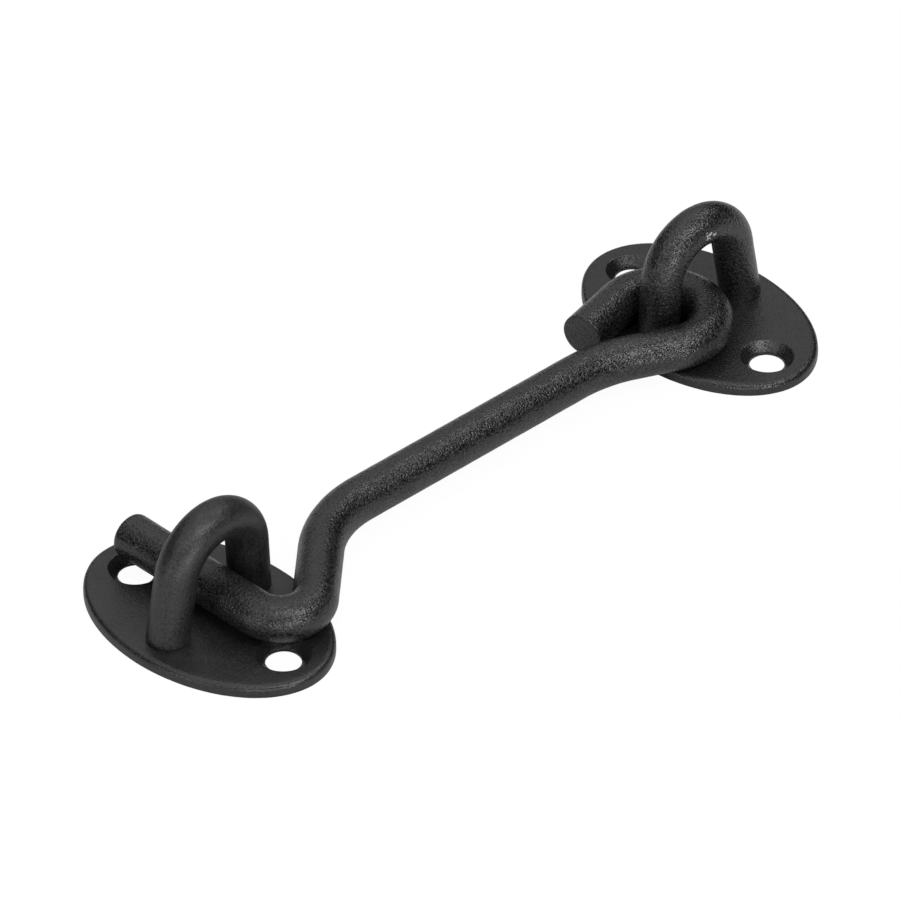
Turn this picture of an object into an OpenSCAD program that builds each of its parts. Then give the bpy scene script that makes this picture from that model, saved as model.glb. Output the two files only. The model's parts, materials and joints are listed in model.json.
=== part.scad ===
// Cabin hook latch: a bent rod hook that turns on one oval eye plate and drops its prong into
// the staple of a second oval catch plate. Millimetres, +Z away from the door.
// The origin is the middle of the eye plate's two screw holes, on the plate's back face.
// The hook's shank runs along X, from the catch plate at -X to the eye plate.

/* [Oval plates] */
// Length of each plate, along the line of its screw holes
plate_l = 60; // [57:1:70]
// Width of each plate
plate_w = 40; // [38:1:50]
// Thickness of each plate
plate_t = 2.7; // [2.4:0.1:4]
// Rounding of each plate's upper edge
rim_r = 1.2; // [0.4:0.1:1.4]

/* [Screw holes] */
// Distance between the two screw holes of a plate
screw_pitch = 41.4; // [38:0.2:44]
// Diameter of the screw holes
screw_d = 7.4; // [5:0.1:8.5]
// Diameter of the countersinks at the plate's face
sink_d = 11.4; // [9.5:0.1:12.5]
// Straight depth of a screw hole below its countersink
throat_h = 0.7; // [0.6:0.1:1.8]

/* [Staples] */
// Diameter of the rod that the staples are bent from
staple_d = 9; // [8:0.1:10]
// Room between the prong and each foot of a staple
staple_play = 2.8; // [2.4:0.1:3.4]
// How much further in than its feet a staple's arch lies
arch_in = 1.6; // [0.6:0.1:1.8]
// Height of the catch staple over the plate's back
catch_h = 29; // [27:0.5:34]
// Height of the eye staple over the plate's back
eye_h = 30.6; // [27:0.2:34]
// How far the catch staple's arch leans towards the eye plate
catch_lean = 1; // [0:0.1:1]
// How far the eye staple's arch leans towards the catch plate
eye_lean = 1.1; // [0:0.1:1.2]

/* [Riveted feet] */
// Diameter of the tenon below each staple foot
tenon_d = 6.6; // [5:0.1:7.2]
// Diameter of the riveted head at the plate's back
rivet_d = 8.4; // [7.6:0.1:9]
// Depth of the riveted head
rivet_h = 1.2; // [0.8:0.1:1.6]
// Fit of a tenon in its plate, each side
tenon_fit = 0.03; // [0.02:0.01:0.05]
// How far the riveted heads lie below the plate's back
rivet_recess = 0.1; // [0.05:0.05:0.3]

/* [Hook rod] */
// Diameter of the rod that the hook is bent from
hook_d = 9.65; // [9:0.05:10.5]
// Gap between the hook and the plates that it lies over
hook_lift = 0.2; // [0.1:0.05:0.5]
// Distance between the two plates' middles, along the shank
reach = 143.4; // [132:0.2:180]
// How far the catch plate is turned from the eye plate, in degrees
catch_turn = 5.4; // [0:0.2:8]

/* [Hook eye] */
// Room between the eye and the staple leg inside it
eye_play = 1.3; // [1.3:0.05:1.8]
// How far the eye is drawn towards the catch plate on its leg
slack_x = 0.4; // [0:0.1:0.4]
// How far the eye hangs to the side on its leg
slack_y = 0.9; // [0:0.1:0.9]
// How far the rod wraps round the eye, in degrees
eye_wrap = 217.6; // [205:0.1:219]
// Straight tail after the eye
tail_l = 14.4; // [8:0.1:14.5]
// Edge chamfer of the sawn tail end
tail_cham = 0.4; // [0.2:0.1:0.8]

/* [Hook neck] */
// Angle between the neck and the shank, in degrees
neck_a = 24; // [20:0.1:28]
// Straight length of the neck
neck_l = 10.2; // [8:0.1:16]
// Centreline radius of the bend between the neck and the shank
neck_r = 35; // [28:0.1:40]

/* [Hook dogleg and prong] */
// Angle between the dogleg and the shank, in degrees
dog_a = 44.1; // [40:0.1:48]
// Straight length of the dogleg
dog_l = 15.7; // [13:0.1:20]
// Centreline radius of the bend between the shank and the dogleg
dog_r = 24.9; // [20:0.1:30]
// Centreline radius of the bend between the dogleg and the prong
prong_r = 7.1; // [6.6:0.05:9]
// How far the prong leans from square to the shank, in degrees
prong_lean = 3.3; // [1:0.1:5]
// Straight prong between its bend and the middle of the catch
prong_in = 12; // [11:0.5:16]
// Prong past the middle of the catch
prong_out = 25; // [18:0.2:34]
// How far the prong lies from the catch's middle, towards the eye plate
prong_off = 1.6; // [1.5:0.1:2.2]
// Edge chamfer of the prong's end
prong_cham = 1.2; // [0.4:0.1:1.6]

/* [Hidden] */
black = [0.13, 0.13, 0.135];

rod_fn = 64;
oval_fn = 96;
rim_steps = 3;
cut_over = 1;
far_out = 200;

// A bent rod is a hair thinner in its bends, and its straights reach a little way into them
bend_thin = 0.01;
lap = 0.2;

hook_r = hook_d / 2;
staple_r = staple_d / 2;
hook_z = plate_t + hook_lift + hook_r;

// A staple's feet leave room for the prong on each side
foot_x = hook_r + staple_r + staple_play;
arch_r = foot_x - arch_in;

// The eye runs round the eye staple's near leg at the hook's own height
eye_r = staple_r + hook_r + eye_play;
eye_rise = eye_h - staple_r - arch_r;
catch_rise = catch_h - staple_r - arch_r;
leg_slant = slant(foot_x, -eye_lean, eye_rise - plate_t);
leg_x = -foot_x + (hook_z - plate_t) * tan(leg_slant);
eye_at = [leg_x - slack_x, -slack_y];

// The neck leaves the eye and meets the shank
neck_end = eye_at + eye_r * [-sin(neck_a), -cos(neck_a)];
neck_start = neck_end + neck_l * [-cos(neck_a), sin(neck_a)];
shank_end = neck_start + neck_r * [-sin(neck_a), 1 - cos(neck_a)];

// Steps from the middle of the catch back to the shank
prong_step = prong_in * [sin(prong_lean), -cos(prong_lean)];
bend_turn = 90 - prong_lean + dog_a;
bend_step = prong_r * [cos(prong_lean) + sin(dog_a), sin(prong_lean) - cos(dog_a)];
dog_step = dog_l * [cos(dog_a), sin(dog_a)];
dog_bend_step = dog_r * [sin(dog_a), 1 - cos(dog_a)];
shank_start_x = -reach + prong_off + (prong_step + bend_step + dog_step + dog_bend_step)[0];
shank_l = shank_end[0] - shank_start_x;

// The catch plate lies where the prong crosses its staple
cross_at = [-reach + prong_off, shank_end[1] - (prong_step + bend_step + dog_step + dog_bend_step)[1]];
catch_at = cross_at - prong_off * [1, tan(catch_turn)];
prong_l = prong_in + prong_out;

// Slant of a staple leg from its foot to where it touches the arch, in degrees
function slant(foot, lean, rise) =
    let (across = foot + lean)
    90 - atan2(rise, across) - asin(arch_r / norm([across, rise]));

// Length of a staple leg from its foot to where it touches the arch
function leg_length(foot, lean, rise) = sqrt(pow(foot + lean, 2) + pow(rise, 2) - pow(arch_r, 2));

// A straight rod along +X from the origin, between two bends
module rod(d, l) {
    translate([-lap, 0, 0]) rotate([0, 90, 0]) cylinder(d = d, h = l + 2 * lap, $fn = rod_fn);
}

// A straight rod along +X from its free end at the origin, which has a chamfered edge
module end_rod(d, l, cham) {
    rotate([0, 90, 0]) rotate_extrude($fn = rod_fn)
        polygon([[0, 0], [d / 2 - cham, 0], [d / 2, cham], [d / 2, l + lap], [0, l + lap]]);
}

// A bend about the origin, from the angle of the start to that of the end
module arc(d, r, start, end) {
    rotate(start) rotate_extrude(angle = end - start, $fn = rod_fn)
        translate([r, 0]) circle(d = d - 2 * bend_thin, $fn = rod_fn);
}

// A bend that starts at the origin along +X and turns to the left
module bend(d, r, turn) {
    translate([0, r, 0]) arc(d, r, -90, turn - 90);
}

module ahead(l) {
    translate([l, 0, 0]) children();
}

module turned(r, turn) {
    translate([0, r, 0]) rotate(turn) translate([0, -r, 0]) children();
}

// A plate's outline, drawn in by the given amount
module oval(inset) {
    polygon([for (i = [0 : oval_fn - 1])
        let (a = 360 * i / oval_fn)
        [(plate_w / 2 - inset) * cos(a), (plate_l / 2 - inset) * sin(a)]]);
}

// A plate's blank: flat back, upright edge and rounded rim
module blank() {
    skin = rim_r / 20;
    hull() {
        linear_extrude(plate_t - rim_r) oval(0);
        for (k = [1 : rim_steps])
            let (a = 90 * k / rim_steps)
            translate([0, 0, plate_t - rim_r + rim_r * sin(a) - skin])
                linear_extrude(skin) oval(rim_r * (1 - cos(a)));
    }
}

module plate() {
    color(black) difference() {
        blank();
        for (side = [-1, 1]) {
            translate([0, side * screw_pitch / 2, 0]) screw_hole();
            translate([side * foot_x, 0, 0]) tenon(tenon_fit, -cut_over, plate_t + cut_over);
        }
    }
}

// A countersunk screw hole, to be cut from the plate
module screw_hole() {
    flare = (sink_d - screw_d) / 2 / (plate_t - throat_h);
    rotate_extrude($fn = rod_fn)
        polygon([[0, -cut_over], [screw_d / 2, -cut_over], [screw_d / 2, throat_h],
            [sink_d / 2 + cut_over * flare, plate_t + cut_over], [0, plate_t + cut_over]]);
}

// A tenon with its riveted head, from bottom to top, grown by the given amount each side
module tenon(grow, bottom, top) {
    flare = (rivet_d - tenon_d) / 2 / rivet_h;
    rotate_extrude($fn = rod_fn)
        polygon([[0, bottom], [rivet_d / 2 + grow - flare * bottom, bottom],
            [tenon_d / 2 + grow, rivet_h], [tenon_d / 2 + grow, top], [0, top]]);
}

// One staple leg from its foot at the given side up to the arch, cut off square at the plate
module leg(side, lean, rise) {
    above = rise - plate_t;
    intersection() {
        translate([side * foot_x, 0, plate_t])
            rotate([0, -side * slant(foot_x, side * lean, above), 0])
                translate([0, 0, -staple_r])
                    cylinder(d = staple_d, $fn = rod_fn,
                        h = staple_r + leg_length(foot_x, side * lean, above) + lap);
        translate([-far_out / 2, -far_out / 2, plate_t]) cube(far_out);
    }
}

// A staple across its plate; the arch's middle lies off the plate's middle by -lean
module staple(lean, rise) {
    left = slant(foot_x, -lean, rise - plate_t);
    right = slant(foot_x, lean, rise - plate_t);
    color(black) {
        for (side = [-1, 1]) {
            leg(side, lean, rise);
            translate([side * foot_x, 0, 0]) tenon(0, rivet_recess, plate_t + lap);
        }
        translate([-lean, 0, rise]) rotate([90, 0, 0]) arc(staple_d, arch_r, right, 180 - left);
    }
}

module at_catch() {
    translate([catch_at[0], catch_at[1], 0]) rotate(catch_turn) children();
}

module eye_plate() plate();

module eye_staple() staple(eye_lean, eye_rise);

module catch_plate() at_catch() plate();

module catch_staple() at_catch() staple(-catch_lean, catch_rise);

// The hook, followed from the prong's end to the eye's tail
module hook() {
    tip = cross_at - prong_out * [sin(prong_lean), -cos(prong_lean)];
    color(black) translate([tip[0], tip[1], hook_z]) rotate(prong_lean - 90) {
        end_rod(hook_d, prong_l, prong_cham);
        ahead(prong_l) {
            bend(hook_d, prong_r, bend_turn);
            turned(prong_r, bend_turn) dogleg();
        }
    }
}

module dogleg() {
    rod(hook_d, dog_l);
    ahead(dog_l) {
        mirror([0, 1, 0]) bend(hook_d, dog_r, dog_a);
        turned(-dog_r, -dog_a) shank();
    }
}

module shank() {
    rod(hook_d, shank_l);
    ahead(shank_l) {
        mirror([0, 1, 0]) bend(hook_d, neck_r, neck_a);
        turned(-neck_r, -neck_a) neck();
    }
}

module neck() {
    rod(hook_d, neck_l);
    ahead(neck_l) {
        bend(hook_d, eye_r, eye_wrap);
        turned(eye_r, eye_wrap) ahead(tail_l) mirror([1, 0, 0]) end_rod(hook_d, tail_l, tail_cham);
    }
}

eye_plate();
eye_staple();
hook();
catch_plate();
catch_staple();
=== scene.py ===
"""A cabin hook latch in matte black powder coat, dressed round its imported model, in metres."""
import itertools
import json

import bmesh
import bpy
import numpy as np
from mathutils import Matrix, Quaternion, Vector


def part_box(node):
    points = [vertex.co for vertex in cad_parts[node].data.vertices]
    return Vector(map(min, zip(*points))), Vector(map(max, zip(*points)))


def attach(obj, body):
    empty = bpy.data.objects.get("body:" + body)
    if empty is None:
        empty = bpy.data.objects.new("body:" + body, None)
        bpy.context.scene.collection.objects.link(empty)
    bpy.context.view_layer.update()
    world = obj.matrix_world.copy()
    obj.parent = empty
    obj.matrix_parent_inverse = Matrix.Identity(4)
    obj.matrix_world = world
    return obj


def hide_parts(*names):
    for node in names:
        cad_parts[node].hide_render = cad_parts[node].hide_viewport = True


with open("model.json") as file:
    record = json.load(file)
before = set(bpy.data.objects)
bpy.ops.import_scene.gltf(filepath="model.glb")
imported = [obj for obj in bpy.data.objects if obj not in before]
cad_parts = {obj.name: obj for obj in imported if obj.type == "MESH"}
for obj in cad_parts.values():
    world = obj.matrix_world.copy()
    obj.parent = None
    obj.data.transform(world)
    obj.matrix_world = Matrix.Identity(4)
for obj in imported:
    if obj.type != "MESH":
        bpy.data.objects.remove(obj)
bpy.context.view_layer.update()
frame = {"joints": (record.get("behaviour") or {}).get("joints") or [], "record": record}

# The camera: a long lens in front of the latch and to its left, looking down on it at 38
# degrees.
mm = 0.001
scene = bpy.context.scene
look_at = Vector((-69.27, 3.40, 0)) * mm
camera_azimuth = np.radians(-132.63)
camera_elevation = np.radians(37.97)
camera_distance = 1570.2 * mm
camera_roll = np.radians(0.06)


def stand(thing, azimuth, elevation, distance):
    """Links a camera or a lamp into the scene, at look_at + distance * the unit vector
    (cos e cos a, cos e sin a, sin e) of azimuth a and elevation e, turned to face look_at."""
    way = Vector((np.cos(elevation) * np.cos(azimuth), np.cos(elevation) * np.sin(azimuth),
                  np.sin(elevation)))
    thing.location = look_at + distance * way
    thing.rotation_mode = "QUATERNION"
    thing.rotation_quaternion = way.to_track_quat("Z", "Y")
    scene.collection.objects.link(thing)


camera = bpy.data.objects.new("camera", bpy.data.cameras.new("camera"))
camera.data.lens = 300
camera.data.sensor_width = 36
stand(camera, camera_azimuth, camera_elevation, camera_distance)
camera.rotation_quaternion = camera.rotation_quaternion @ Quaternion((0, 0, 1), camera_roll)
scene.camera = camera

# The two oval plates: each is a flat steel pressing with a rounded upper rim, two countersunk
# screw holes and two holes for a staple's feet. Powder coat rounds every edge a little, and
# two screws hold each plate down flat.
mounts = {mount["name"]: mount for mount in frame["record"]["mounts"]}
screw_dims = mounts["eye_plate_screws"]["dims"]
half_width, half_length, plate_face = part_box("eye_plate")[1]
screw_place = screw_dims["pcd_mm"] / 2 * mm
screw_radius = screw_dims["hole_r_mm"] * mm
sink_radius = 5.7 * mm
throat_height = 0.7 * mm
foot_place = 12.125 * mm
foot_hole_radius = 3.33 * mm
rivet_hole_radius = 4.23 * mm
rivet_height = 1.2 * mm
rim_round = 1.5 * mm
coat_round = 0.25 * mm
small_round = coat_round / 2
catch_turn = np.radians(5.4)
plate_step = 0.42 * mm
arc_points = int(np.pi / 4 * (half_width + half_length) / plate_step)
line_points = int(np.hypot(half_width, half_length) / np.sqrt(2) / plate_step)
top_rings = int(foot_place / plate_step)
back_rings = 10
round_steps = 5
merge_distance = 1e-7


def rounded(corners, rounds):
    """A profile through the corners. Each is cut back to the points near and far, a round away
    from it, and bridged by the curve (1-t)^2 near + 2t(1-t) corner + t^2 far. The two ends stay
    as they are."""
    corners = np.asarray(corners, float)
    t = np.linspace(0, 1, round_steps + 1)[:, None]
    points = [corners[:1]]
    for before, corner, after, size in zip(corners, corners[1:], corners[2:], rounds):
        near = corner + size * (before - corner) / np.linalg.norm(before - corner)
        far = corner + size * (after - corner) / np.linalg.norm(after - corner)
        points.append((1 - t) ** 2 * near + 2 * t * (1 - t) * corner + t ** 2 * far)
    return np.concatenate(points + [corners[-1:]])


def spaced(profile, step):
    """The same profile with points added along it, so that none lie further apart than a step."""
    run = np.r_[0, np.cumsum(np.linalg.norm(np.diff(profile, axis=0), axis=1))]
    places = [np.linspace(a, b, int(np.ceil((b - a) / step)) + 1)[1:] for a, b in zip(run, run[1:])]
    places = np.concatenate([[0]] + places)
    return np.column_stack([np.interp(places, run, column) for column in profile.T])


def oval(turn, inset):
    """The plate's outline: the ellipse (a cos turn, b sin turn), with its half axes a and b both
    drawn in by the inset."""
    across, along = half_width - inset, half_length - inset
    return np.stack([across * np.cos(turn), along * np.sin(turn)], axis=-1)


def quarter_edge(quarter, inset):
    """The closed edge of a quarter of the plate: its stretch of the oval, then straight in to
    the middle, and out again."""
    arc = oval(np.linspace(quarter - 0.5, quarter + 0.5, arc_points) * np.pi / 2, inset)
    share = np.linspace(1, 0, line_points)[1:, None]
    return np.concatenate([arc, arc[-1] * share, (arc[0] * share)[-2:0:-1], arc[:1] * share[0]])


def flat_quarter(middle, ways, radius, edge, height, rings):
    """A flat face round a hole: each ring lies a share of the way, along straight lines, from
    the hole's circle middle + radius * ways to the quarter's edge."""
    share = np.linspace(0, 1, rings)[:, None, None]
    flat = (middle + radius * ways) * (1 - share) + edge * share
    return np.dstack([flat, np.full(flat.shape[:2], height)])


def hole_wall(middle, ways, profile):
    """A surface of revolution: each row is the circle of one radius and height of the profile."""
    flat = middle + profile[:, 0, None, None] * ways
    return np.dstack([flat, np.repeat(profile[:, 1, None], len(ways), axis=1)])


def rim_wall():
    """The plate's rim: each row is the oval at one (inset, height) point of the rim's profile."""
    rim = rounded([(coat_round, 0), (0, 0), (0, plate_face), (rim_round, plate_face)],
                  [coat_round, rim_round])
    around = (np.arange(4 * (arc_points - 1)) / (arc_points - 1) - 0.5) * np.pi / 2
    return np.stack([np.column_stack([oval(around, inset), np.full(len(around), height)])
                     for inset, height in spaced(rim, plate_step)])


def plate_grids():
    """The plate lying at the origin: four quarters with a hole each, in turn for a staple's foot
    and for a screw, and the rim round them. A hole's profile is a row of (radius, height) points,
    from the face down to the back."""
    sink = rounded([(sink_radius + coat_round, plate_face), (sink_radius, plate_face),
                    (screw_radius, throat_height), (screw_radius, 0),
                    (screw_radius + coat_round, 0)],
                   [coat_round, coat_round, small_round])
    socket = rounded([(foot_hole_radius + coat_round, plate_face), (foot_hole_radius, plate_face),
                      (foot_hole_radius, rivet_height), (rivet_hole_radius, 0),
                      (rivet_hole_radius + coat_round, 0)],
                     [small_round, small_round, small_round])
    grids = []
    for quarter in range(4):
        profile, reach = (sink, screw_place) if quarter % 2 else (socket, foot_place)
        middle = reach * np.array([np.cos(np.pi / 2 * quarter), np.sin(np.pi / 2 * quarter)])
        ways = quarter_edge(quarter, 0) - middle
        ways /= np.linalg.norm(ways, axis=1, keepdims=True)
        top, under = quarter_edge(quarter, rim_round), quarter_edge(quarter, coat_round)
        grids += [flat_quarter(middle, ways, profile[0, 0], top, plate_face, top_rings),
                  hole_wall(middle, ways, spaced(profile, plate_step)),
                  flat_quarter(middle, ways, profile[-1, 0], under, 0, back_rings)]
    return grids + [rim_wall()]


def grid_faces(rows, columns, first):
    """Quads of a grid whose last column joins its first, with the points numbered row by row."""
    row, column = np.meshgrid(np.arange(rows - 1), np.arange(columns), indexing="ij")
    beside = (column + 1) % columns
    quads = np.stack([row * columns + column, row * columns + beside,
                      (row + 1) * columns + beside, (row + 1) * columns + column], axis=-1)
    return first + quads.reshape(-1, 4)


def piece_from_grids(name, grids):
    """A closed mesh from grids of points whose edges meet: points that coincide are merged."""
    points = np.concatenate([grid.reshape(-1, 3) for grid in grids])
    firsts = np.cumsum([0] + [grid.shape[0] * grid.shape[1] for grid in grids])
    faces = np.concatenate([grid_faces(*grid.shape[:2], first) for grid, first in zip(grids, firsts)])
    mesh = bpy.data.meshes.new(name)
    mesh.from_pydata(points.tolist(), [], faces.tolist())
    shell = bmesh.new()
    shell.from_mesh(mesh)
    bmesh.ops.remove_doubles(shell, verts=shell.verts, dist=merge_distance)
    bmesh.ops.recalc_face_normals(shell, faces=shell.faces)
    shell.to_mesh(mesh)
    shell.free()
    mesh.polygons.foreach_set("use_smooth", np.ones(len(mesh.polygons), bool))
    piece = bpy.data.objects.new(name, mesh)
    scene.collection.objects.link(piece)
    return piece


def set_on_mount(piece, mount, turn):
    """Turns a piece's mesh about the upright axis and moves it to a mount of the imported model."""
    place = Matrix.Translation(mounts[mount]["pos_m"])
    piece.data.transform(place @ Matrix.Rotation(turn, 4, "Z"))


# The coat isn't quite even: it dips in waves of two lengths, each with a depth.
plate_ripples = [(2.6 * mm, 0.012 * mm), (0.95 * mm, 0.008 * mm)]
hash_primes = np.array([73856093, 19349663, 83492791])
hash_last_prime = 1274126177
hash_fold = 13
hash_skip = 16
hash_mask = 0xFFFF
hash_half = 0x7FFF


def noise(points, cell, seed):
    """Smooth noise from -1 to 1: each corner of a cubic grid has a value hashed from its
    whole-number place, and the eight corners round a point are blended by 3t^2 - 2t^3 of its
    place t between them."""
    place = points / cell
    corner = np.floor(place).astype(np.int64)
    t = place - corner
    t = t * t * (3 - 2 * t)
    total = np.zeros(len(points))
    for step in itertools.product((0, 1), repeat=3):
        mixed = (corner + step) @ hash_primes + seed
        mixed = (mixed ^ (mixed >> hash_fold)) * hash_last_prime
        value = ((mixed >> hash_skip) & hash_mask) / hash_half - 1
        total += value * np.prod(np.where(step, t, 1 - t), axis=1)
    return total


def coated(piece, ripples, seed):
    """The uneven skin of the coat: each point sinks along its normal by the sum of
    depth * (1 - noise) over the (cell, depth) pairs of the ripples."""
    mesh = piece.data
    points = np.empty(len(mesh.vertices) * 3, np.float32)
    normals = np.empty_like(points)
    mesh.vertices.foreach_get("co", points)
    mesh.vertex_normals.foreach_get("vector", normals)
    points, normals = points.reshape(-1, 3), normals.reshape(-1, 3)
    lift = sum(depth * (noise(points, cell, seed) - 1) for cell, depth in ripples)
    mesh.vertices.foreach_set("co", (points + lift[:, None] * normals).astype(np.float32).ravel())
    mesh.update()


# The coat's look: its tone, sand, patches, pale specks and chip, and how much softer it gets.
coat_tone = (0.013, 0.013, 0.0132, 1)
pale_tone = (0.35, 0.35, 0.35, 1)
sheen_spread = 0.2
cloud_detail = 1
cloud_middle = 0.5
gap_depth = 0.35
patches_per_metre = 160
darkest_shade = 0.1
specks_per_metre = 420
speck_size = 0.06
speck_share = 0.006
flakes_per_metre = 1400
flake_edge = 0.6
soft_way = (-1, -2, 0)
soft_from = 60 * mm
soft_to = 170 * mm
softer_height = 0.15
softer_roughness = 0.06


def feed(tree, node, inputs):
    """Sets each input of a node, by name or number, to its value, or links it to an output."""
    for socket, value in inputs.items():
        if isinstance(value, bpy.types.NodeSocket):
            tree.links.new(value, node.inputs[socket])
        else:
            node.inputs[socket].default_value = value


def new_node(tree, kind, inputs, operation=None):
    """A new node of a kind, with its operation where it has one, and its inputs fed."""
    node = tree.nodes.new(kind)
    if operation:
        node.operation = operation
    feed(tree, node, inputs)
    return node


def maths(tree, operation, a, b):
    """The result of one operation on two numbers or outputs."""
    return new_node(tree, "ShaderNodeMath", {0: a, 1: b}, operation).outputs[0]


def clouds(tree, place, scale):
    """Smooth noise from 0 to 1, round 0.5, with about as many lumps in a metre as the scale."""
    inputs = {"Vector": place, "Scale": scale, "Detail": cloud_detail}
    return new_node(tree, "ShaderNodeTexNoise", inputs).outputs["Fac"]


def cells(tree, place, scale):
    """Cells, about as many in a metre as the scale: the distance to each one's middle, as a share
    of a cell, and each one's own colour."""
    return new_node(tree, "ShaderNodeTexVoronoi", {"Vector": place, "Scale": scale})


def softness(tree, place, amount):
    """The amount times a share that rises from 0 to 1 as the place's dot product with soft_way
    goes from soft_from to soft_to."""
    along = new_node(tree, "ShaderNodeVectorMath", {0: place, 1: soft_way}, "DOT_PRODUCT")
    limits = {"From Min": soft_from, "From Max": soft_to, "Value": along.outputs["Value"]}
    share = new_node(tree, "ShaderNodeMapRange", limits)
    return maths(tree, "MULTIPLY", share.outputs["Result"], amount)


def specks(tree, place, share):
    """1 within speck_size of the middle of a cell, in that share of all cells, and 0 elsewhere."""
    dots = cells(tree, place, specks_per_metre)
    small = maths(tree, "LESS_THAN", dots.outputs["Distance"], speck_size)
    channels = new_node(tree, "ShaderNodeSeparateColor", {0: dots.outputs["Color"]})
    rare = maths(tree, "LESS_THAN", channels.outputs[0], share)
    return maths(tree, "MULTIPLY", small, rare)


def chip(tree, place, middle, reach):
    """1 where the clouds of flakes pass flake_edge within reach of the middle, and 0 elsewhere."""
    away = new_node(tree, "ShaderNodeVectorMath", {0: place, 1: middle}, "DISTANCE")
    inside = maths(tree, "LESS_THAN", away.outputs["Value"], reach)
    flakes = maths(tree, "GREATER_THAN", clouds(tree, place, flakes_per_metre), flake_edge)
    return maths(tree, "MULTIPLY", inside, flakes)


def powder_coat_group():
    """Sand-textured powder coat: fine grains of fused powder, in patches that change slowly,
    with rare pale specks and a chip. Its height is the sand's clouds less the gaps between the
    grains, and its roughness and tone rise and fall with the same clouds."""
    tree = bpy.data.node_groups.new("powder coat", "ShaderNodeTree")
    numbers = ("Grain Size", "Roughness", "Sheen Spread", "Tone Spread", "Softer End", "Specks",
               "Chip Reach")
    sockets = [("Tone", "INPUT", "Color"), ("Chip Place", "INPUT", "Vector")]
    sockets += [(name, "INPUT", "Float") for name in numbers]
    sockets += [("Color", "OUTPUT", "Color"), ("Roughness", "OUTPUT", "Float"),
                ("Height", "OUTPUT", "Float")]
    for name, side, kind in sockets:
        tree.interface.new_socket(name, in_out=side, socket_type=f"NodeSocket{kind}")
    given = tree.nodes.new("NodeGroupInput").outputs
    place = tree.nodes.new("ShaderNodeTexCoord").outputs["Object"]

    fineness = maths(tree, "DIVIDE", 1, given["Grain Size"])
    sand = clouds(tree, place, fineness)
    grains = cells(tree, place, fineness)
    soft = softness(tree, place, given["Softer End"])
    gaps = maths(tree, "MULTIPLY", grains.outputs["Distance"], gap_depth)
    flatter = maths(tree, "SUBTRACT", 1, maths(tree, "MULTIPLY", soft, softer_height))
    height = maths(tree, "MULTIPLY", maths(tree, "SUBTRACT", sand, gaps), flatter)

    uneven = maths(tree, "SUBTRACT", sand, cloud_middle)
    glint = maths(tree, "MULTIPLY", uneven, given["Sheen Spread"])
    duller = maths(tree, "MULTIPLY", soft, softer_roughness)
    roughness = maths(tree, "ADD", maths(tree, "ADD", given["Roughness"], duller), glint)

    patches = clouds(tree, place, patches_per_metre)
    mottled = maths(tree, "ADD", maths(tree, "MULTIPLY", uneven, given["Tone Spread"]), patches)
    shade = maths(tree, "MAXIMUM", maths(tree, "ADD", mottled, cloud_middle), darkest_shade)
    tinted = new_node(tree, "ShaderNodeVectorMath", {0: given["Tone"], "Scale": shade}, "SCALE")
    pale = maths(tree, "MAXIMUM", chip(tree, place, given["Chip Place"], given["Chip Reach"]),
                 specks(tree, place, given["Specks"]))
    # A mix of colours takes them at its inputs 6 and 7, and gives the result at its output 2.
    color = tree.nodes.new("ShaderNodeMix")
    color.data_type = "RGBA"
    feed(tree, color, {"Factor": pale, 6: tinted.outputs[0], 7: pale_tone})
    new_node(tree, "NodeGroupOutput",
             {"Color": color.outputs[2], "Roughness": roughness, "Height": height})
    return tree


powder_coat = powder_coat_group()


def coat(name, grain, depth, roughness, tone_spread, softer_end=0, chip_place=(0, 0, 0),
         chip_reach=0):
    """A finish of the powder coat: its grain size and depth, roughness, the grain's spread in
    tone, how far it softens towards the catch and the front, and a chip's place and reach."""
    finish = bpy.data.materials.new(name)
    finish.use_nodes = True
    tree = finish.node_tree
    skin = tree.nodes.new("ShaderNodeGroup")
    skin.node_tree = powder_coat
    feed(tree, skin, {"Tone": coat_tone, "Grain Size": grain, "Roughness": roughness,
                      "Sheen Spread": sheen_spread, "Tone Spread": tone_spread,
                      "Softer End": softer_end, "Specks": speck_share,
                      "Chip Place": chip_place, "Chip Reach": chip_reach})
    bump = new_node(tree, "ShaderNodeBump", {"Distance": depth, "Height": skin.outputs["Height"]})
    feed(tree, tree.nodes["Principled BSDF"],
         {"Base Color": skin.outputs["Color"], "Roughness": skin.outputs["Roughness"],
          "Normal": bump.outputs["Normal"]})
    return finish


plate_finish = coat("plate powder coat", grain=0.4 * mm, depth=0.09 * mm, roughness=0.28,
                    tone_spread=2, softer_end=0.8)
for name, body, mount, turn, seed in (
        ("oval_eye_plate", "eye", "eye_plate_screws", 0, 11),
        ("oval_catch_plate", "catch", "catch_plate_screws", catch_turn, 12)):
    made = piece_from_grids(name, plate_grids())
    set_on_mount(made, mount, turn)
    coated(made, plate_ripples, seed)
    made.data.materials.append(plate_finish)
    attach(made, body)
    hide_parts(f"{body}_plate")

# The two staples: each is a round bar bent into a U whose legs lean in a little. Its feet are
# turned down to tenons, which pass through the plate and are hammered out at the back.
staple_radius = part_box("eye_staple")[1].y
arch_radius = 10.525 * mm
eye_arch_aside = -1.1 * mm
catch_arch_aside = 1.0 * mm
tenon_radius = 3.3 * mm
rivet_radius = 4.2 * mm
rivet_recess = 0.1 * mm
shoulder = plate_face - rivet_recess
foot_round = 0.3 * mm
tenon_round = coat_round / 5
turn_in = 0.5 * mm
bar_step = 0.3 * mm
bar_sides = 96
line_step = 0.02 * mm
eye_staple_ripples = [(2.2 * mm, 0.018 * mm), (0.8 * mm, 0.01 * mm)]
catch_staple_ripples = [(3 * mm, 0.006 * mm), (0.8 * mm, 0.003 * mm)]
chip_place = (-1.5 * mm, -4.45 * mm, 26.4 * mm)
chip_reach = 1.5 * mm


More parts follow.
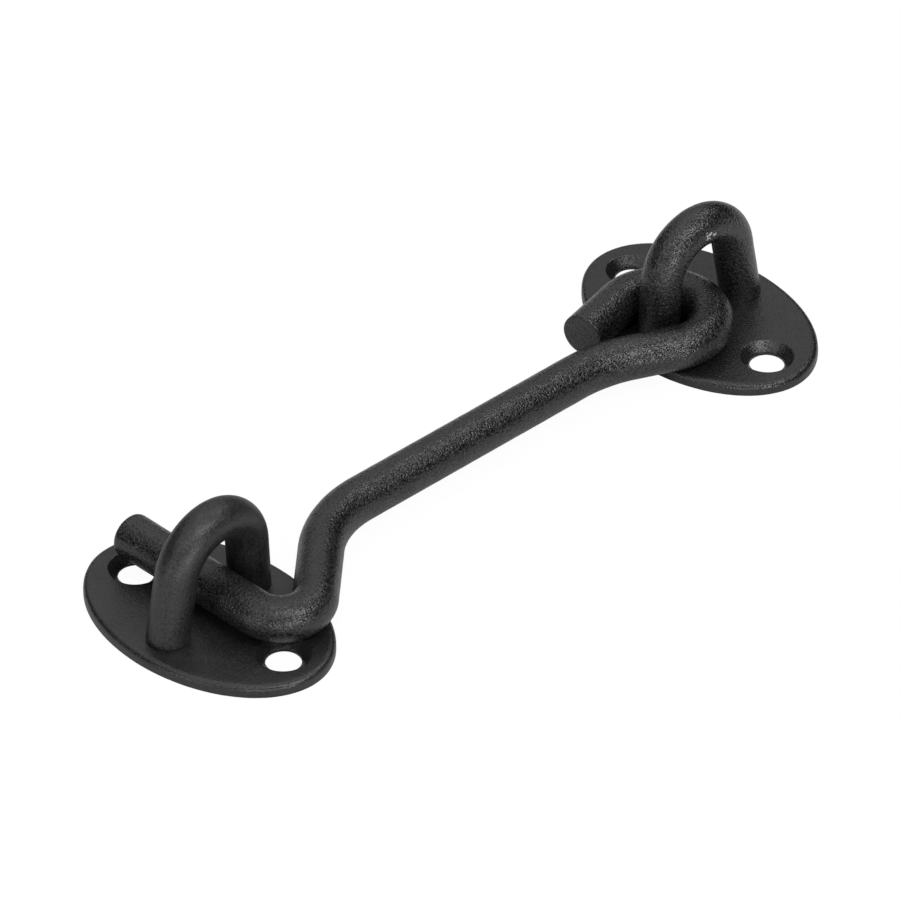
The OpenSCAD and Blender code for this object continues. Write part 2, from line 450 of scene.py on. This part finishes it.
def middle_line(start, heading, stretches):
    """The middle line of a bent bar, given as (length, turn) stretches: its heading grows evenly
    along each stretch, and its place is the integral of (cos heading, sin heading)."""
    lengths, turns = np.array(stretches, float).T
    knots = np.r_[0, np.cumsum(lengths)]
    distance = np.linspace(0, knots[-1], int(knots[-1] / line_step))
    angle = np.interp(distance, knots, heading + np.r_[0, np.cumsum(turns)])
    halfway = (angle[1:] + angle[:-1]) / 2
    step = np.diff(distance)
    x = start[0] + np.r_[0, np.cumsum(step * np.cos(halfway))]
    y = start[1] + np.r_[0, np.cumsum(step * np.sin(halfway))]
    return distance, x, y, angle


def bar(line, profile, origin, across):
    """A round bar: row k is the circle of the profile's radius k, square to the middle line at
    the profile's distance k. The line lies in the plane of the X axis and the across vector, at
    the origin."""
    distance, x, y, angle = line
    rows, radius = spaced(profile, bar_step).T
    x, y, angle = (np.interp(rows, distance, value) for value in (x, y, angle))
    along, across = np.array([1, 0, 0]), np.array(across)
    sideways = np.cross(along, across)
    middle = origin + x[:, None] * along + y[:, None] * across
    outwards = -np.sin(angle)[:, None] * along + np.cos(angle)[:, None] * across
    turn = np.linspace(0, 2 * np.pi, bar_sides, endpoint=False)
    ring = np.cos(turn)[None, :, None] * outwards[:, None] + np.sin(turn)[None, :, None] * sideways
    return middle[:, None] + radius[:, None, None] * ring


def staple_line(top, arch_aside):
    """A staple's middle line, upright over the plate's width, from one riveted head to the other.
    The arch's middle lies aside from the plate's, and each leg is the tangent from its foot to
    the arch."""
    rise = top - staple_radius - arch_radius - plate_face
    legs, slants = [], []
    for across in (foot_place + arch_aside, foot_place - arch_aside):
        reach = np.hypot(across, rise)
        legs.append(np.sqrt(reach ** 2 - arch_radius ** 2))
        slants.append(np.pi / 2 - np.arctan2(rise, across) - np.arcsin(arch_radius / reach))
    bend = np.pi - sum(slants)
    return middle_line((-foot_place, rivet_recess), np.pi / 2, [
        (shoulder, 0), (turn_in, -slants[0]), (legs[0] - turn_in, 0), (arch_radius * bend, -bend),
        (legs[1] - turn_in, 0), (turn_in, -slants[1]), (shoulder, 0)])


def staple_profile(length):
    """The bar's (distance, radius) points: a riveted head and a tenon at each end of the length."""
    foot = [(0, 0), (0, rivet_radius), (rivet_height - rivet_recess, tenon_radius),
            (shoulder, tenon_radius), (shoulder, staple_radius)]
    other_foot = [(length - distance, radius) for distance, radius in reversed(foot)]
    rounds = [foot_round, foot_round, tenon_round, foot_round]
    return rounded(foot + other_foot, rounds + rounds[::-1])


eye_staple_finish = coat("eye staple powder coat", grain=0.5 * mm, depth=0.165 * mm,
                         roughness=0.25, tone_spread=5, chip_place=chip_place,
                         chip_reach=chip_reach)
catch_staple_finish = coat("catch staple powder coat", grain=0.4 * mm, depth=0.075 * mm,
                           roughness=0.4, tone_spread=4)
for name, body, mount, turn, arch_aside, ripples, finish, seed in (
        ("riveted_eye_staple", "eye", "eye_plate_screws", 0, eye_arch_aside,
         eye_staple_ripples, eye_staple_finish, 21),
        ("riveted_catch_staple", "catch", "catch_plate_screws", catch_turn, catch_arch_aside,
         catch_staple_ripples, catch_staple_finish, 22)):
    line = staple_line(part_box(f"{body}_staple")[1].z, arch_aside)
    profile = staple_profile(length=line[0][-1])
    made = piece_from_grids(name, [bar(line, profile, origin=np.zeros(3), across=(0, 0, 1))])
    set_on_mount(made, mount, turn)
    coated(made, ripples, seed)
    made.data.materials.append(finish)
    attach(made, body)
    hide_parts(f"{body}_staple")

# The hook: one round steel bar bent in one plane. From its sawn tail it wraps round the eye
# staple's leg, and runs through neck, shank and dogleg to the prong in the catch staple.
hook_low, hook_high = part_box("hook")
hook_radius = (hook_high.z - hook_low.z) / 2
hook_height = (hook_high.z + hook_low.z) / 2
eye_middle = next(joint for joint in frame["joints"] if joint["name"] == "hook_swing")["pos_m"]
eye_radius = 10.625 * mm
eye_wrap = np.radians(217.6)
tail_length = 14.4 * mm
neck_turn = np.radians(24)
neck_length = 10.2 * mm
neck_radius = 35 * mm
dogleg_turn = np.radians(44.1)
dogleg_length = 15.7 * mm
dogleg_radius = 24.9 * mm
prong_lean = np.radians(3.3)
prong_radius = 7.1 * mm
prong_length = 37 * mm
prong_past_catch = 25 * mm
prong_aside = 1.6 * mm
tip_round = 1.3 * mm
tail_round = 0.35 * mm
hook_ripples = [(2.4 * mm, 0.016 * mm), (0.8 * mm, 0.01 * mm)]


def hook_line(shank_length):
    """The hook's middle line from the tail's end to the prong's tip, with its eye round the
    joint."""
    tail_heading = eye_wrap - neck_turn
    heading = np.array([np.cos(tail_heading), np.sin(tail_heading)])
    aside = np.array([heading[1], -heading[0]])
    start = np.array(eye_middle[:2]) + eye_radius * aside + tail_length * heading
    prong_turn = np.pi / 2 - prong_lean + dogleg_turn
    return middle_line(start, tail_heading - np.pi, [
        (tail_length, 0), (eye_radius * eye_wrap, -eye_wrap), (neck_length, 0),
        (neck_radius * neck_turn, neck_turn), (shank_length, 0),
        (dogleg_radius * dogleg_turn, dogleg_turn), (dogleg_length, 0),
        (prong_radius * prong_turn, -prong_turn), (prong_length, 0)])


def fitted_shank():
    """The shank's length: how far a hook with hardly any shank has to grow along the X axis, until
    its prong lies prong_aside from the catch plate's middle, at prong_past_catch from its tip."""
    distance, x = hook_line(shank_length=line_step)[:2]
    crossing = np.interp(distance[-1] - prong_past_catch, distance, x)
    return crossing - mounts["catch_plate_screws"]["pos_m"][0] - prong_aside


line = hook_line(fitted_shank())
length = line[0][-1]
profile = rounded([(0, 0), (0, hook_radius), (length, hook_radius), (length, 0)],
                  [tail_round, tip_round])
hook_origin = np.array([0, 0, hook_height])
hook = piece_from_grids("bent_hook", [bar(line, profile, hook_origin, across=(0, 1, 0))])
coated(hook, hook_ripples, seed=31)
hook.data.materials.append(coat("hook powder coat", grain=0.5 * mm, depth=0.165 * mm,
                                roughness=0.25, tone_spread=5, softer_end=1))
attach(hook, "hook")
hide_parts("hook")

# The floor: a white sheet that the latch lies on. The camera sees it as white paper with
# the latch's shadow on it, and it throws plain white light up at the latch.
floor_half = 4.0
floor_drop = 0.02 * mm
paper_tone = (0.68, 0.68, 0.68, 1)
paper_glow = 1.04
glow_share = 0.92

floor = bpy.data.objects.new("floor", bpy.data.meshes.new("floor"))
corners = [(x * floor_half, y * floor_half, -floor_drop)
           for x, y in ((-1, -1), (1, -1), (1, 1), (-1, 1))]
floor.data.from_pydata(corners, [], [(0, 1, 2, 3)])
scene.collection.objects.link(floor)
paper = bpy.data.materials.new("paper")
paper.use_nodes = True
tree = paper.node_tree
tree.nodes.clear()
seen = new_node(tree, "ShaderNodeLightPath", {}).outputs["Is Camera Ray"]
matte = new_node(tree, "ShaderNodeBsdfDiffuse", {"Color": paper_tone})
glow = new_node(tree, "ShaderNodeEmission", {"Strength": paper_glow})
blend = new_node(tree, "ShaderNodeMixShader", {0: maths(tree, "MULTIPLY", seen, glow_share),
                                               1: matte.outputs[0], 2: glow.outputs[0]})
new_node(tree, "ShaderNodeOutputMaterial", {"Surface": blend.outputs[0]})
floor.data.materials.append(paper)

# The lights: soft boxes round the table, and a dark room beyond them, which the camera sees as
# white. The key box stands on the camera's right, and three low ones stand on both sides of
# the camera and below it.
box_distance = 1.3
for name, azimuth, elevation, size, power in (
        ("key box", 272, 52, 0.35, 4.4), ("second key box", 300, 45, 0.3, 1.8),
        ("front box", 210, 45, 0.3, 1.3), ("high front box", 240, 65, 0.3, 2.3),
        ("top box", 90, 80, 0.8, 3.0), ("left box", 175, 50, 0.4, 1.5),
        ("back left box", 135, 50, 0.6, 1.1), ("right box", 0, 54, 0.3, 2.2),
        ("low left box", 180, 12, 0.3, 2.1), ("low front box", 225, 10, 0.3, 2.8),
        ("low right box", 258, 12, 0.25, 4.3), ("far box", 60, 42, 1.3, 3.8)):
    lamp = bpy.data.lights.new(name, "AREA")
    lamp.energy = power
    lamp.size = size
    stand(bpy.data.objects.new(name, lamp), np.radians(azimuth), np.radians(elevation), box_distance)

room = bpy.data.worlds.new("room")
scene.world = room
room.use_nodes = True
tree = room.node_tree
tree.nodes.clear()
seen = new_node(tree, "ShaderNodeLightPath", {}).outputs["Is Camera Ray"]
dark = new_node(tree, "ShaderNodeBackground", {"Strength": 0})
white = new_node(tree, "ShaderNodeBackground", {"Color": (1, 1, 1, 1)})
choice = new_node(tree, "ShaderNodeMixShader", {0: seen, 1: dark.outputs[0], 2: white.outputs[0]})
new_node(tree, "ShaderNodeOutputWorld", {"Surface": choice.outputs[0]})

scene.view_settings.view_transform = "Standard"
